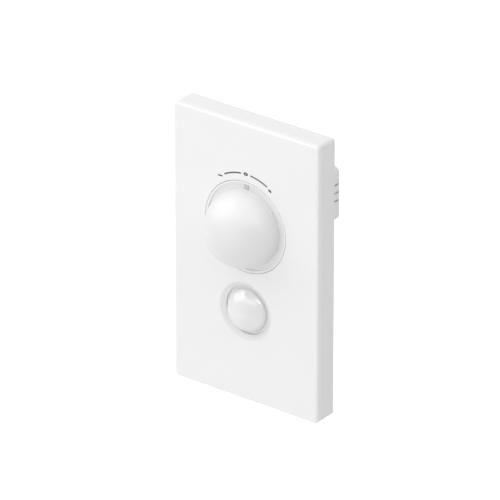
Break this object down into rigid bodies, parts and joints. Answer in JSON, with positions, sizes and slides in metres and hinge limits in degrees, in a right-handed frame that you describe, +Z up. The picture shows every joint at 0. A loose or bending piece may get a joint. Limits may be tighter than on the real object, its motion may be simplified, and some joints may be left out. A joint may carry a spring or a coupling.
{
  "type": "motion sensor light switch",
  "caption": "White wall switch plate with a domed rotary mode knob above a domed motion-sensor lens, on a screw-fixed frame with a vented rear housing and wire terminals.",
  "frame": {"origin": "middle of the plate on the wall face, where the frame's flat back meets the wall", "axes": "+X to the right seen from the room, +Y into the wall, +Z up; the front faces -Y"},
  "size_m": [0.07, 0.0509, 0.12],
  "materials": {
    "shell_white": "satin white moulded plastic",
    "knob_white": "glossy white moulded plastic",
    "frame_white": "matt white moulded plastic",
    "lens_white": "glossy milky lens plastic",
    "pointer_grey": "matt grey plastic",
    "inner_grey": "matt dark grey plastic",
    "part_black": "matt black plastic",
    "board_green": "green solder resist on board",
    "film_yellow": "yellow box plastic",
    "can_grey": "dark sleeve on a metal can",
    "disc_blue": "blue dipped coating",
    "clear_eye": "water-clear resin",
    "red_eye": "red tinted resin",
    "steel": "plated steel",
    "brass": "plain brass"
  },
  "bodies": {
    "switch": {"front_cover": "shell_white", "base_frame": "frame_white", "chassis": "inner_grey", "rear_housing": "frame_white", "switch_bushing": "steel", "switch_nut": "steel", "switch_washer": "steel", "switch_body": "part_black", "sensor_lens": "lens_white", "sensor_shroud": "part_black", "sensor_can": "steel", "sensor_window": "part_black", "sensor_pins": "steel", "sensor_holder": "part_black", "light_sensor": "clear_eye", "indicator_led": "red_eye", "controller_chip": "part_black", "control_board": "board_green", "power_board": "board_green", "link_header": "part_black", "link_pins": "brass", "relay": "part_black", "film_capacitor": "film_yellow", "filter_capacitor": "can_grey", "varistor": "disc_blue", "fuse": "part_black", "terminal_blocks": "inner_grey", "terminal_clamps": "brass", "terminal_screws": "steel", "chassis_screws": "steel", "board_screws": "steel"},
    "knob": {"knob_cap": "knob_white", "knob_carrier": "shell_white", "knob_pointer": "pointer_grey", "switch_shaft": "steel"}
  },
  "joints": [
    {"name": "knob_turn", "type": "hinge", "parent": "switch", "child": "knob", "pos_m": [0, -0.01, 0.0158], "axis": [0, 1, 0], "range_deg": [-33, 33]}
  ]
}
